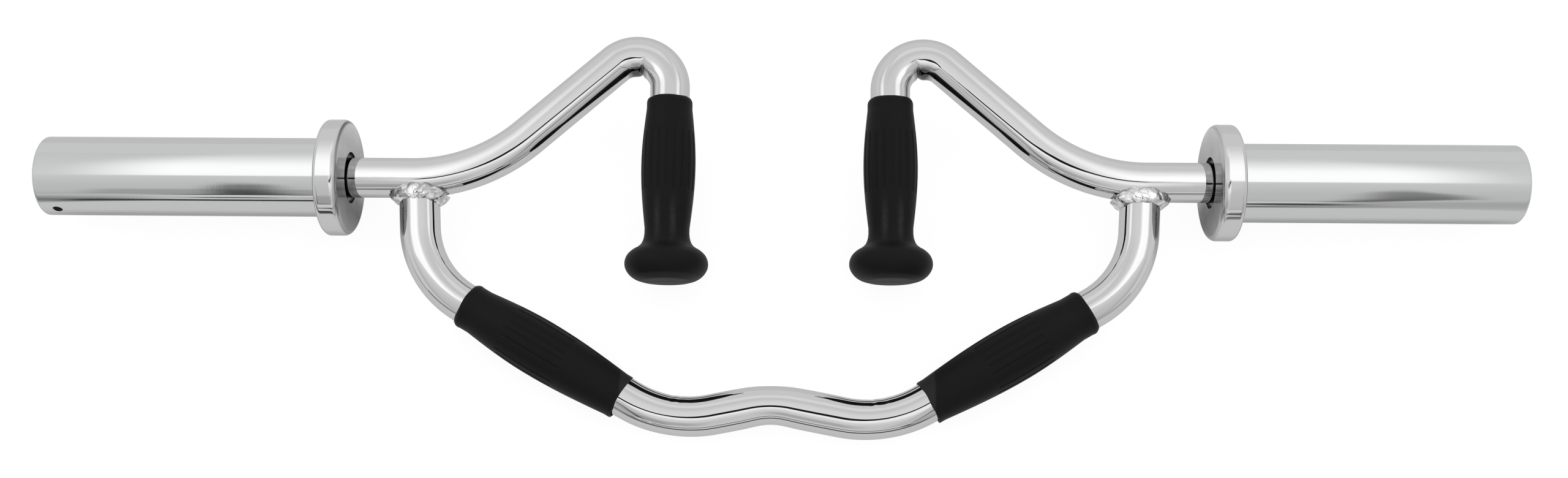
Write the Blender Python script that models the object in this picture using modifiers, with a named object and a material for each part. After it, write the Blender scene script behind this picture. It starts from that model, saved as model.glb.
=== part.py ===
"""Tri-trap bar: a bent round bar with two upright and two angled rubber grips and two rotating plate sleeves.

The bar is built flat in its own plane, from the sleeve axis at mid length: X along the sleeves, Y towards the
hooked arms, Z out of the plane. One empty tips that plane to the angle at which the bar lies on a floor, on its
collars and its lower bar. Each sleeve turns about an empty on its own axis, whose Z points to the sleeve's end.
Lengths are in metres and angles in radians.
"""

import math

import bmesh
import bpy
from mathutils import Matrix, Vector

# All the bars are bent from one size of round bar
ROD_RADIUS = 0.0127

# Lower bar, from the hump at its middle, down to the belly, up through the angled grip and the leg
HUMP_SLOPE = math.radians(12.0)
HUMP_BEND_RADIUS = 0.070
BELLY_X = 0.0675
BELLY_BEND_RADIUS = 0.075
GRIP_SLOPE = math.radians(30.2)
LEG_BEND_Y = -0.0641
LEG_BEND_RADIUS = 0.060
LEG_LEAN = math.radians(4.2)
LEG_SINK = 0.0047

# Arms, from the leg inwards over the hook to the upright
LEG_TO_ARM_BEND = 0.0372
ARM_RISE = math.radians(41.6)
ARM_BEND_RADIUS = 0.110
HOOK_X = 0.0706
HOOK_BEND_RADIUS = 0.0213

# Weld bead round the top of each leg, where it meets the arm
BEAD_SIDE_SINK = 0.0016
BEAD_SIDE_RADIUS = 0.0066
BEAD_FRONT_SINK = 0.0025
BEAD_FRONT_RADIUS = 0.0048
BEAD_RIPPLE = 0.09
BEAD_RIPPLES = 11

# Plate sleeves, for plates with a 50.8 mm hole
LEG_TO_COLLAR = 0.0432
COLLAR_FLANGE = 0.0119
COLLAR_WIDTH = 0.0150
COLLAR_WEB = 0.0050
COLLAR_BORE_CLEARANCE = 0.0035
COLLAR_OUTER_FILLET = 0.0030
COLLAR_INNER_FILLET = 0.0020
SLEEVE_RADIUS = 0.0250
SLEEVE_WALL = 0.0050
LOADING_LENGTH = 0.1780
SLEEVE_FILLET = 0.0018

# Journal turned on the end of each arm, and what sits on it inside the sleeve
JOURNAL_STEP = 0.0017
SHOULDER_INSET = 0.0008
JOURNAL_TAIL = 0.0040
JOURNAL_CHAMFER = 0.0010
JOURNAL_TO_CAP = 0.0110
GROOVE_DEPTH = 0.0008
BUSH_LENGTH = 0.0300
WASHER_CLEARANCE = 0.0025
WASHER_THICKNESS = 0.0020
RING_THICKNESS = 0.0015
RING_WIDTH = 0.0024
RING_EAR_RADIUS = 0.0021
RING_EAR_HOLE = 0.0010
RING_MOUTH = math.radians(40.0)

# Cap in the sleeve's outer end, held by a set screw
CAP_RECESS = 0.0007
CAP_LENGTH = 0.0170
CAP_FACE = 0.0045
CAP_SKIRT = 0.0060
CAP_CHAMFER = 0.0008
SCREW_INSET = 0.0113
SCREW_HOLE_RADIUS = 0.00285
SCREW_LENGTH = 0.0060
SCREW_SINK = 0.0022
SCREW_POINT = 0.0012
SCREW_SOCKET = 0.0025
SCREW_TURN = {"left": math.radians(79.4), "right": math.radians(259.4)}

# Upright grips, from the lip below the hook down to the knob, with their rubber walls over the bar
HOOK_TO_GRIP = 0.0072
LIP_LENGTH = 0.0070
LIP_WALL = 0.0019
LIP_TO_BELLY = 0.0370
UPRIGHT_BELLY_WALL = 0.00455
BELLY_TO_WAIST = 0.0405
WAIST_WALL = 0.0018
WAIST_TO_NECK = 0.0085
NECK_WALL = 0.0029
NECK_TO_KNOB = 0.0140
KNOB_TO_BAR_END = 0.0020
KNOB_RADIUS = 0.02665
KNOB_RISE = 0.0115
KNOB_DROP = 0.0130
KNOB_SQUARENESS = 3.0

# Angled grips, measured both ways along the slope from the belly of the grip, and the bends beyond their ends
ANGLED_BELLY_WALL = 0.0051
ANGLED_END_WALL = 0.0023
ANGLED_OUTER_LENGTH = 0.0540
ANGLED_INNER_LENGTH = 0.0580
ANGLED_OUTER_TAPER = 0.0420
ANGLED_INNER_TAPER = 0.0540
GRIP_TO_LEG_BEND = 0.0019
GRIP_TO_BELLY_BEND = 0.0069

# Flutes moulded round the middle of every grip, and the rounding of a grip's edge
FLUTES = 20
FLUTE_DEPTH = 0.0005
FLUTE_REACH = 0.0210
FLUTE_RUN_OUT = 0.0045
GRIP_EDGE = 0.0010

# Clearance between pieces that touch or turn on each other
GAP = 0.0003

# Facets
ROD_SIDES = 20
SLEEVE_SIDES = 36
INNER_SIDES = 24
SCREW_SIDES = 12
BEAD_SIDES = 8
BEAD_POINTS = 33
BEND_SAG = 0.0002
RING_STEPS = 18
EAR_STEPS = 7
SHARP_EDGE = math.radians(35.0)
CUTTER_MARGIN = 0.0020

PART_NAME = "tri_trap_bar"
SIDES = {"left": -1, "right": 1}

# Lower bar: the run of the slope between its two bends holds the angled grip, and sets where the leg stands
LEG_BEND_REACH = LEG_BEND_RADIUS * math.tan((math.pi / 2 - GRIP_SLOPE - LEG_LEAN) / 2)
BELLY_BEND_REACH = BELLY_BEND_RADIUS * math.tan((GRIP_SLOPE + HUMP_SLOPE) / 2)
BELLY_TO_GRIP = BELLY_BEND_REACH + GRIP_TO_BELLY_BEND + ANGLED_INNER_LENGTH
SLOPE_RUN = BELLY_TO_GRIP + ANGLED_OUTER_LENGTH + GRIP_TO_LEG_BEND + LEG_BEND_REACH
BELLY_Y = LEG_BEND_Y - SLOPE_RUN * math.sin(GRIP_SLOPE)
LEG_BEND_X = BELLY_X + SLOPE_RUN * math.cos(GRIP_SLOPE)
LEG_X = LEG_BEND_X - LEG_BEND_Y * math.tan(LEG_LEAN)

# Arms: the hook's bend ends above the upright grip
ARM_BEND_X = LEG_X - LEG_TO_ARM_BEND
HOOK_Y = (ARM_BEND_X - HOOK_X) * math.tan(ARM_RISE)
UPRIGHT_GRIP_TOP = HOOK_Y - HOOK_BEND_RADIUS * math.tan((math.pi / 2 + ARM_RISE) / 2) - HOOK_TO_GRIP

# Heights along an upright grip, down from its top
LIP_END = -LIP_LENGTH
UPRIGHT_BELLY = LIP_END - LIP_TO_BELLY
WAIST = UPRIGHT_BELLY - BELLY_TO_WAIST
NECK = WAIST - WAIST_TO_NECK
KNOB = NECK - NECK_TO_KNOB
BAR_END = KNOB - KNOB_TO_BAR_END

# Radii from the bar and the sleeve
JOURNAL_RADIUS = ROD_RADIUS - JOURNAL_STEP
GROOVE_RADIUS = JOURNAL_RADIUS - GROOVE_DEPTH
SLEEVE_BORE = SLEEVE_RADIUS - SLEEVE_WALL
WASHER_RADIUS = SLEEVE_BORE - WASHER_CLEARANCE
COLLAR_RADIUS = SLEEVE_RADIUS + COLLAR_FLANGE
COLLAR_BORE_RADIUS = ROD_RADIUS + COLLAR_BORE_CLEARANCE
GRIP_BORE = ROD_RADIUS + GAP
LIP_RADIUS = ROD_RADIUS + LIP_WALL
WAIST_RADIUS = ROD_RADIUS + WAIST_WALL
ANGLED_END_RADIUS = ROD_RADIUS + ANGLED_END_WALL

# Heights along a sleeve's axis, outwards from the collar's inboard face
COLLAR_FACE_X = LEG_X + LEG_TO_COLLAR
SLEEVE_START = COLLAR_WEB + GAP
SLEEVE_END = COLLAR_WIDTH + LOADING_LENGTH
SHOULDER = COLLAR_WEB + SHOULDER_INSET
INNER_WASHER_START = SHOULDER + GAP
INNER_BUSH_START = INNER_WASHER_START + WASHER_THICKNESS + GAP
JOURNAL_END = SLEEVE_END - CAP_RECESS - CAP_LENGTH - JOURNAL_TO_CAP
GROOVE_END = JOURNAL_END - JOURNAL_TAIL
GROOVE_START = GROOVE_END - RING_THICKNESS - 2 * GAP
OUTER_WASHER_START = GROOVE_START - WASHER_THICKNESS
OUTER_BUSH_START = OUTER_WASHER_START - GAP - BUSH_LENGTH
SCREW_HEIGHT = SLEEVE_END - SCREW_INSET


def clear_scene():
    for obj in list(bpy.data.objects):
        bpy.data.objects.remove(obj, do_unlink=True)


def new_collection(name):
    made = bpy.data.collections.new(name)
    bpy.context.scene.collection.children.link(made)
    return made


def new_finish(name, colour, roughness, metallic):
    made = bpy.data.materials.new(name)
    made.use_nodes = True
    shader = made.node_tree.nodes["Principled BSDF"]
    shader.inputs["Base Color"].default_value = (*colour, 1.0)
    shader.inputs["Roughness"].default_value = roughness
    shader.inputs["Metallic"].default_value = metallic
    return made


def new_empty(name, matrix):
    made = bpy.data.objects.new(name, None)
    made.matrix_world = matrix
    parts.objects.link(made)
    return made


def place(name, data, finish, parent, matrix=None):
    """A new object of the part, set in its parent's frame."""
    made = bpy.data.objects.new(name, data)
    made.parent = parent
    made.matrix_local = matrix or Matrix()
    if not data.materials:
        data.materials.append(finish)
    parts.objects.link(made)
    return made


def as_cutter(obj):
    """Keeps a helper out of the part and out of renders."""
    parts.objects.unlink(obj)
    cutters.objects.link(obj)
    obj.hide_render = True
    obj.display_type = "WIRE"
    return obj


def cut(obj, *tools):
    for tool in tools:
        modifier = obj.modifiers.new("cut by " + tool.name, "BOOLEAN")
        modifier.operation = "DIFFERENCE"
        modifier.solver = "EXACT"
        modifier.object = tool


def settled(obj):
    """The object's evaluated mesh, with its caps and seams welded."""
    bpy.context.view_layer.update()
    evaluated = obj.evaluated_get(bpy.context.evaluated_depsgraph_get())
    mesh = bpy.data.meshes.new_from_object(evaluated)
    shape = bmesh.new()
    shape.from_mesh(mesh)
    bmesh.ops.remove_doubles(shape, verts=shape.verts, dist=0.000001)
    shape.to_mesh(mesh)
    shape.free()
    return mesh


def as_mesh(guide, finish):
    """Replaces a curve object by a mesh object of the same name and place."""
    mesh = settled(guide)
    name, parent, matrix = guide.name, guide.parent, guide.matrix_local.copy()
    bpy.data.objects.remove(guide)
    return place(name, mesh, finish, parent, matrix)


def arc(radius, height, size, first, last, steps):
    """Points of a round in a turned profile, about (radius, height), between two angles in degrees."""
    angles = [math.radians(first + (last - first) * i / steps) for i in range(steps + 1)]
    return [(radius + size * math.cos(a), height + size * math.sin(a)) for a in angles]


def turned(name, profile, sides, finish, parent, matrix=None, ring=True):
    """A solid turned about local Z. The profile is (radius, height) pairs, downwards on its outer side."""
    outline = bpy.data.meshes.new(name)
    edges = [(i, i + 1) for i in range(len(profile) - 1)]
    if ring:
        edges.append((len(profile) - 1, 0))
    outline.from_pydata([(radius, 0.0, height) for radius, height in profile], edges, [])
    made = place(name, outline, finish, parent, matrix)
    screw = made.modifiers.new("turn", "SCREW")
    screw.axis = "Z"
    screw.angle = 2 * math.pi
    screw.steps = sides
    screw.render_steps = sides
    screw.use_merge_vertices = True
    screw.merge_threshold = 0.00001
    return made


def plain_ring(inner, outer, low, high):
    return [(inner, high), (outer, high), (outer, low), (inner, low)]


def bent(corners, radii):
    """The centreline through the corners, each inner corner rounded to its bend radius."""
    path = [corners[0]]
    for before, corner, after, radius in zip(corners, corners[1:], corners[2:], radii):
        back = (before - corner).normalized()
        on = (after - corner).normalized()
        half = back.angle(on) / 2
        centre = corner + (back + on).normalized() * radius / math.sin(half)
        start = corner + back * radius / math.tan(half)
        turn = math.copysign(math.pi - 2 * half, back.y * on.x - back.x * on.y)
        step = 2 * math.acos(1 - BEND_SAG / (radius + ROD_RADIUS))
        count = math.ceil(abs(turn) / step)
        for i in range(count + 1):
            path.append(centre + Matrix.Rotation(turn * i / count, 2) @ (start - centre))
    path.append(corners[-1])
    return path


def mirrored(path, side):
    return [Vector((side * point.x, *point[1:])) for point in path]


def rod(name, path, radius, finish, parent, sides=None, swell=None):
    """A round rod along the points, as a closed mesh. A swell gives a closed loop and scales it point by point."""
    curve = bpy.data.curves.new(name, "CURVE")
    curve.dimensions = "3D"
    curve.bevel_depth = radius
    curve.bevel_resolution = (sides or ROD_SIDES) // 2 - 2
    curve.use_fill_caps = swell is None
    spline = curve.splines.new("POLY")
    spline.use_cyclic_u = swell is not None
    spline.points.add(len(path) - 1)
    for point, spot, scale in zip(spline.points, path, swell or [1.0] * len(path)):
        point.co = (*spot.to_3d(), 1.0)
        point.radius = scale
    return as_mesh(place(name, curve, finish, parent), finish)


def arm_path():
    """Half of the bar's plane: from the journal inwards, up the arm, over the hook and down the upright."""
    corners = [
        Vector((COLLAR_FACE_X + JOURNAL_END, 0.0)),
        Vector((ARM_BEND_X, 0.0)),
        Vector((HOOK_X, HOOK_Y)),
        Vector((HOOK_X, UPRIGHT_GRIP_TOP + BAR_END)),
    ]
    return bent(corners, [ARM_BEND_RADIUS, HOOK_BEND_RADIUS])


def leg_x(y):
    return LEG_X + y * math.tan(LEG_LEAN)


def on_slope(run):
    """The point of the lower bar's sloping part at a run from its lower corner."""
    return Vector((BELLY_X + run * math.cos(GRIP_SLOPE), BELLY_Y + run * math.sin(GRIP_SLOPE)))


def lower_path(extra=0.0):
    """The lower bar, from the top of one leg to the other, each leg longer by the extra."""
    top = LEG_SINK - ROD_RADIUS + extra
    half = [Vector((leg_x(top), top)), on_slope(SLOPE_RUN), on_slope(0.0)]
    hump = Vector((0.0, BELLY_Y + BELLY_X * math.tan(HUMP_SLOPE)))
    corners = half + [hump] + mirrored(reversed(half), -1)
    radii = [LEG_BEND_RADIUS, BELLY_BEND_RADIUS, HUMP_BEND_RADIUS, BELLY_BEND_RADIUS, LEG_BEND_RADIUS]
    return bent(corners, radii)


def rest_tilt():
    """How far the bar's plane tips before its lower bar, or an angled grip's inner end, meets the floor."""
    grip_y = on_slope(BELLY_TO_GRIP - ANGLED_INNER_LENGTH + GRIP_EDGE).y
    feet = [(min(point.y for point in lower_path()), ROD_RADIUS), (grip_y, ANGLED_END_RADIUS)]
    return min(math.asin((COLLAR_RADIUS - radius) / -y) for y, radius in feet)


def outboard(side):
    """From the bar's frame to a sleeve's: Z outwards along the axis, from the collar's inboard face."""
    return Matrix.Translation((side * COLLAR_FACE_X, 0, 0)) @ Matrix.Rotation(side * math.pi / 2, 4, "Y")


def along_axis(height):
    return Matrix.Translation((0, 0, height))


def bead_path():
    """The weld's core, and how its radius swells: low in front of and behind the leg, fuller at its sides."""
    path, swell = [], []
    for i in range(BEAD_POINTS):
        angle = 2 * math.pi * i / BEAD_POINTS
        beside, front = math.cos(angle) ** 2, math.sin(angle) ** 2
        reach = ROD_RADIUS - BEAD_SIDE_SINK * beside - BEAD_FRONT_SINK * front
        radius = BEAD_SIDE_RADIUS * beside + BEAD_FRONT_RADIUS * front
        path.append(Vector((leg_x(-reach) + reach * math.cos(angle), -reach, reach * math.sin(angle))))
        swell.append(radius / BEAD_SIDE_RADIUS * (1 + BEAD_RIPPLE * math.sin(BEAD_RIPPLES * angle)))
    return path, swell


def make_bars(bar_plane):
    """The two arms, the lower bar coped to them, and the weld beads in the corners between."""
    arms = {}
    for name, side in SIDES.items():
        path = mirrored(arm_path(), side)
        arm = rod(name + "_arm_bar", path, ROD_RADIUS, chrome, bar_plane)
        cut(arm, journal_cutter(name, side, bar_plane))
        grown = rod(name + "_arm_cutter", path, ROD_RADIUS + GAP, chrome, bar_plane)
        arms[name] = as_cutter(grown)
    lower = rod("lower_bar", lower_path(), ROD_RADIUS, chrome, bar_plane)
    cut(lower, *arms.values())
    grown = as_cutter(rod("lower_cutter", lower_path(GAP), ROD_RADIUS + GAP, chrome, bar_plane))
    path, swell = bead_path()
    for name, side in SIDES.items():
        bead = rod(name + "_weld_bead", mirrored(path, side), BEAD_SIDE_RADIUS, weld, bar_plane,
                   BEAD_SIDES, swell)
        cut(bead, arms[name], grown)


def journal_cutter(name, side, bar_plane):
    """What a lathe takes off the arm's end: the step, the groove for the snap ring and the chamfer."""
    outer = ROD_RADIUS + CUTTER_MARGIN
    top = JOURNAL_END + CUTTER_MARGIN
    profile = [
        (outer, top),
        (outer, SHOULDER),
        (JOURNAL_RADIUS, SHOULDER),
        (JOURNAL_RADIUS, GROOVE_START),
        (GROOVE_RADIUS, GROOVE_START),
        (GROOVE_RADIUS, GROOVE_END),
        (JOURNAL_RADIUS, GROOVE_END),
        (JOURNAL_RADIUS, JOURNAL_END - JOURNAL_CHAMFER),
        (JOURNAL_RADIUS - JOURNAL_CHAMFER - CUTTER_MARGIN, top),
    ]
    return as_cutter(turned(name + "_journal_cutter", profile, INNER_SIDES, steel, bar_plane, outboard(side)))


def make_journal_pieces(name, side, bar_plane):
    """Thrust washer, retaining washer and snap ring, which stay with the bar."""
    bore = JOURNAL_RADIUS + GAP
    washer = plain_ring(bore, WASHER_RADIUS, 0.0, WASHER_THICKNESS)
    for label, start in (("_thrust_washer", INNER_WASHER_START), ("_retaining_washer", OUTER_WASHER_START)):
        turned(name + label, washer, INNER_SIDES, steel, bar_plane, outboard(side) @ along_axis(start))
    middle = GROOVE_START + GAP + RING_THICKNESS / 2
    snap_ring(name + "_snap_ring", bar_plane, outboard(side) @ along_axis(middle))


def polar(radius, angle):
    return Vector((radius * math.cos(angle), radius * math.sin(angle)))


def sweep(centre, radius, first, last, steps):
    return [centre + polar(radius, first + (last - first) * i / steps) for i in range(steps + 1)]


def snap_ring(name, parent, matrix):
    """An open ring with an ear at each side of its mouth, and a plier hole in each ear."""
    inner = GROOVE_RADIUS + GAP
    outer = inner + RING_WIDTH
    ear = inner + RING_EAR_RADIUS
    mouth = RING_MOUTH / 2
    full = 2 * math.pi
    shift = math.acos((outer**2 + ear**2 - RING_EAR_RADIUS**2) / (2 * outer * ear))
    joint = math.pi - math.acos((ear**2 + RING_EAR_RADIUS**2 - outer**2) / (2 * ear * RING_EAR_RADIUS))
    middle = Vector((0.0, 0.0))
    ears = [polar(ear, -mouth), polar(ear, mouth)]
    loop = sweep(middle, outer, mouth + shift, full - mouth - shift, RING_STEPS)
    loop += sweep(ears[0], RING_EAR_RADIUS, -mouth - joint, math.pi - mouth, EAR_STEPS)[1:]
    loop += sweep(middle, inner, full - mouth, mouth, RING_STEPS)[1:]
    loop += sweep(ears[1], RING_EAR_RADIUS, mouth - math.pi, mouth + joint, EAR_STEPS)[1:-1]
    holes = [sweep(centre, RING_EAR_HOLE, 0.0, full, EAR_STEPS)[:-1] for centre in ears]
    curve = bpy.data.curves.new(name, "CURVE")
    curve.dimensions = "2D"
    curve.fill_mode = "BOTH"
    curve.extrude = RING_THICKNESS / 2
    for outline in [loop] + holes:
        spline = curve.splines.new("POLY")
        spline.use_cyclic_u = True
        spline.points.add(len(outline) - 1)
        for point, spot in zip(spline.points, outline):
            point.co = (*spot, 0.0, 1.0)
    return as_mesh(place(name, curve, steel, parent, matrix), steel)


def make_sleeve(name, side, axis):
    """What turns on one journal: the collar, the tube in its counterbore, two bushes and the capped end."""
    seat = SLEEVE_RADIUS + GAP
    collar = [(seat, COLLAR_WIDTH)]
    collar += arc(COLLAR_RADIUS - COLLAR_OUTER_FILLET, COLLAR_WIDTH - COLLAR_OUTER_FILLET,
                  COLLAR_OUTER_FILLET, 90, 0, 3)
    collar += arc(COLLAR_RADIUS - COLLAR_INNER_FILLET, COLLAR_INNER_FILLET, COLLAR_INNER_FILLET, 0, -90, 2)
    collar += [(COLLAR_BORE_RADIUS, 0.0), (COLLAR_BORE_RADIUS, COLLAR_WEB), (seat, COLLAR_WEB)]
    turned(name + "_collar", collar, SLEEVE_SIDES, satin, axis)

    tube = [(SLEEVE_BORE, SLEEVE_END)]
    tube += arc(SLEEVE_RADIUS - SLEEVE_FILLET, SLEEVE_END - SLEEVE_FILLET, SLEEVE_FILLET, 90, 0, 3)
    tube += [(SLEEVE_RADIUS, SLEEVE_START), (SLEEVE_BORE, SLEEVE_START)]
    sleeve = turned(name + "_sleeve_tube", tube, SLEEVE_SIDES, satin, axis)

    bush = plain_ring(JOURNAL_RADIUS + GAP, SLEEVE_BORE - GAP, 0.0, BUSH_LENGTH)
    for label, start in (("_inner_bush", INNER_BUSH_START), ("_outer_bush", OUTER_BUSH_START)):
        turned(name + label, bush, INNER_SIDES, bronze, axis, along_axis(start))

    cap_seat = along_axis(SLEEVE_END - CAP_RECESS)
    cap = turned(name + "_end_cap", cap_profile(), INNER_SIDES, steel, axis, cap_seat, ring=False)
    turn = SCREW_TURN[name]
    outwards = Vector((-side * math.cos(turn), -math.sin(turn), 0.0))
    radial = along_axis(SCREW_HEIGHT) @ outwards.to_track_quat("Z", "Y").to_matrix().to_4x4()
    hole = [(0.0, SLEEVE_RADIUS + CUTTER_MARGIN), (SCREW_HOLE_RADIUS, SLEEVE_RADIUS + CUTTER_MARGIN),
            (SCREW_HOLE_RADIUS, 0.0), (0.0, 0.0)]
    drill = as_cutter(turned(name + "_screw_drill", hole, SCREW_SIDES, steel, axis, radial, ring=False))
    cut(sleeve, drill)
    cut(cap, drill)
    make_set_screw(name, axis, radial)


def cap_profile():
    """A cup that plugs the sleeve, its face at height 0 and its skirt below."""
    outer = SLEEVE_BORE - GAP
    skirt = outer - CAP_SKIRT
    return [
        (0.0, 0.0),
        (outer - CAP_CHAMFER, 0.0),
        (outer, -CAP_CHAMFER),
        (outer, -CAP_LENGTH),
        (skirt, -CAP_LENGTH),
        (skirt, -CAP_FACE),
        (0.0, -CAP_FACE),
    ]


def make_set_screw(name, axis, radial):
    radius = SCREW_HOLE_RADIUS - GAP
    top = SLEEVE_RADIUS - SCREW_SINK
    low = top - SCREW_LENGTH
    profile = [(0.0, top), (radius, top), (radius, low + SCREW_POINT), (radius - SCREW_POINT, low), (0.0, low)]
    screw = turned(name + "_cap_set_screw", profile, SCREW_SIDES, black_steel, axis, radial, ring=False)
    socket_radius = SCREW_SOCKET / 2 / math.cos(math.pi / 6)
    socket = [(0.0, top + CUTTER_MARGIN), (socket_radius, top + CUTTER_MARGIN),
              (socket_radius, top - SCREW_SOCKET), (0.0, top - SCREW_SOCKET)]
    cut(screw, as_cutter(turned(name + "_socket_cutter", socket, 6, steel, axis, radial, ring=False)))


def barrel(height, belly, end, taper):
    """Radius of a grip at a height from its belly, easing down to its end radius over the taper."""
    return end + (belly - end) * math.cos(min(abs(height) / taper, 1.0) * math.pi / 2)


def flute_heights():
    inner = FLUTE_REACH - FLUTE_RUN_OUT
    return [FLUTE_REACH, inner, 0.0, -inner, -FLUTE_REACH]


def fluted(name, profile, belly, parent, matrix, ring):
    """A turned rubber grip with shallow flutes pressed in round its belly, each fading out at both ends."""
    grip = turned(name, profile, 2 * FLUTES, rubber, parent, matrix, ring)
    mesh = settled(grip)
    grip.modifiers.clear()
    grip.data = mesh
    for vertex in mesh.vertices:
        depth = FLUTE_DEPTH * min(max((FLUTE_REACH - abs(vertex.co.z - belly)) / FLUTE_RUN_OUT, 0.0), 1.0)
        angle = math.atan2(vertex.co.y, vertex.co.x)
        radius = vertex.co.xy.length
        if depth > 0.0:
            scale = 1 - depth * (1 - math.cos(FLUTES * angle)) / 2 / radius
            vertex.co.x *= scale
            vertex.co.y *= scale
    return grip


def knob_outline():
    """The knob's side, from its shoulder round to the middle of its end, as half a squared ellipse."""
    points = []
    for degrees in (55, 28, 0, -28, -52, -74):
        across = math.cos(math.radians(degrees)) ** (2 / KNOB_SQUARENESS)
        up = abs(math.sin(math.radians(degrees))) ** (2 / KNOB_SQUARENESS)
        height = KNOB_RISE * up if degrees > 0 else -KNOB_DROP * up
        points.append((KNOB_RADIUS * across, KNOB + height))
    return points + [(0.0, KNOB - KNOB_DROP)]


def upright_grip_profile():
    """Blind bore, lip, barrel, waist and knob, with heights down from the grip's top."""
    foot = BAR_END - GAP
    profile = [(0.0, foot), (GRIP_BORE, foot), (GRIP_BORE, 0.0)]
    profile += [(LIP_RADIUS - GRIP_EDGE / 2, 0.0), (LIP_RADIUS, -GRIP_EDGE)]
    for height in [LIP_TO_BELLY] + flute_heights() + [-BELLY_TO_WAIST * 0.78, -BELLY_TO_WAIST]:
        end, taper = (LIP_RADIUS, LIP_TO_BELLY) if height > 0 else (WAIST_RADIUS, BELLY_TO_WAIST)
        radius = barrel(height, ROD_RADIUS + UPRIGHT_BELLY_WALL, end, taper)
        profile.append((radius, UPRIGHT_BELLY + height))
    return profile + [(ROD_RADIUS + NECK_WALL, NECK)] + knob_outline()


def angled_grip_profile():
    """Through bore and barrel, with heights outwards along the slope from the belly."""
    top, low = ANGLED_OUTER_LENGTH, -ANGLED_INNER_LENGTH
    heights = [top - GRIP_EDGE, ANGLED_OUTER_TAPER * 0.85] + flute_heights()
    heights += [-ANGLED_INNER_TAPER * 0.72, low + GRIP_EDGE]
    profile = [(GRIP_BORE, top), (ANGLED_END_RADIUS - GRIP_EDGE, top)]
    for height in heights:
        taper = ANGLED_OUTER_TAPER if height > 0 else ANGLED_INNER_TAPER
        profile.append((barrel(height, ROD_RADIUS + ANGLED_BELLY_WALL, ANGLED_END_RADIUS, taper), height))
    return profile + [(ANGLED_END_RADIUS - GRIP_EDGE, low), (GRIP_BORE, low)]


def make_grips(name, side, bar_plane):
    below_hook = Matrix.Translation((side * HOOK_X, UPRIGHT_GRIP_TOP, 0))
    upright = below_hook @ Matrix.Rotation(-math.pi / 2, 4, "X")
    fluted(name + "_upright_grip", upright_grip_profile(), UPRIGHT_BELLY, bar_plane, upright, ring=False)
    slope = Vector((side * math.cos(GRIP_SLOPE), math.sin(GRIP_SLOPE), 0.0))
    middle = on_slope(BELLY_TO_GRIP)
    belly = Matrix.Translation((side * middle.x, middle.y, 0))
    angled = belly @ slope.to_track_quat("Z", "Y").to_matrix().to_4x4()
    fluted(name + "_angled_grip", angled_grip_profile(), 0.0, bar_plane, angled, ring=True)


def shade(obj, mesh):
    obj.modifiers.clear()
    obj.data = mesh
    mesh.shade_smooth()
    mesh.set_sharp_from_angle(angle=SHARP_EDGE)


clear_scene()
parts = new_collection(PART_NAME)
cutters = new_collection("cutters")
chrome = new_finish("chrome", (0.80, 0.80, 0.81), 0.06, 1.0)
satin = new_finish("satin_chrome", (0.74, 0.74, 0.75), 0.24, 1.0)
weld = new_finish("weld_metal", (0.70, 0.70, 0.70), 0.34, 1.0)
rubber = new_finish("black_rubber", (0.018, 0.018, 0.018), 0.62, 0.0)
steel = new_finish("zinc_plated_steel", (0.55, 0.55, 0.56), 0.40, 1.0)
bronze = new_finish("bearing_bronze", (0.52, 0.33, 0.16), 0.38, 1.0)
black_steel = new_finish("black_steel", (0.04, 0.04, 0.045), 0.45, 1.0)

tilt = rest_tilt()
heights_in_plane = [point.y for point in arm_path() + lower_path()]
middle_y = (max(heights_in_plane) + min(heights_in_plane)) / 2 * math.cos(tilt)
sleeve_axis = Matrix.Translation((0.0, -middle_y, COLLAR_RADIUS))
bar_plane = new_empty("bar_plane", sleeve_axis @ Matrix.Rotation(tilt, 4, "X"))
make_bars(bar_plane)
for name, side in SIDES.items():
    make_journal_pieces(name, side, bar_plane)
    make_grips(name, side, bar_plane)
    make_sleeve(name, side, new_empty(name + "_sleeve_axis", sleeve_axis @ outboard(side)))

finished = {obj: settled(obj) for obj in parts.objects if obj.type == "MESH"}
for obj, mesh in finished.items():
    shade(obj, mesh)
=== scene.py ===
"""Looks of the tri-trap bar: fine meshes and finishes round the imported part, a white studio and the camera.

Most pieces are built flat in the bar's own plane, in millimetres from the sleeve axis at mid length: X along
the sleeves, Y towards the hooks, Z out of the plane. BAR_PLANE carries them into the row frame. Finishes and
the studio are laid out in the row frame, in metres.
"""

import math

import bmesh
import bpy
import numpy as np
from mathutils import Matrix, Vector, noise


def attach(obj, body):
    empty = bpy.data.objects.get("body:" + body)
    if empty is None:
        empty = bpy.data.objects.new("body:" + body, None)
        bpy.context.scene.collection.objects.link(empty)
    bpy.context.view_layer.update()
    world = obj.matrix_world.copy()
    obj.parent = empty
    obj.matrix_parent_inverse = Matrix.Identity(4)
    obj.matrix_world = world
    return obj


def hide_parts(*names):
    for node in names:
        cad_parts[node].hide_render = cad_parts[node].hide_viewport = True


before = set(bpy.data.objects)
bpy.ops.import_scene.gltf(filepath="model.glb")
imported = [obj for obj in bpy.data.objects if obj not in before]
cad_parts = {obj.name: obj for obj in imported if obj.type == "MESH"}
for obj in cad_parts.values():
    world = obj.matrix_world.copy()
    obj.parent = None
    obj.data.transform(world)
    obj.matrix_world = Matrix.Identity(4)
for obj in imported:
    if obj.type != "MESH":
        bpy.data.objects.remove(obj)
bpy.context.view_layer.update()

# Where the bar's plane lies in the row frame
AXIS_Y = 0.0343184
AXIS_Z = 0.0369
TILT = math.radians(9.2117374)
BAR_PLANE = Matrix.Translation((0.0, AXIS_Y, AXIS_Z)) @ Matrix.Rotation(TILT, 4, "X")
SIDES = {"left": -1, "right": 1}

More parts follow.
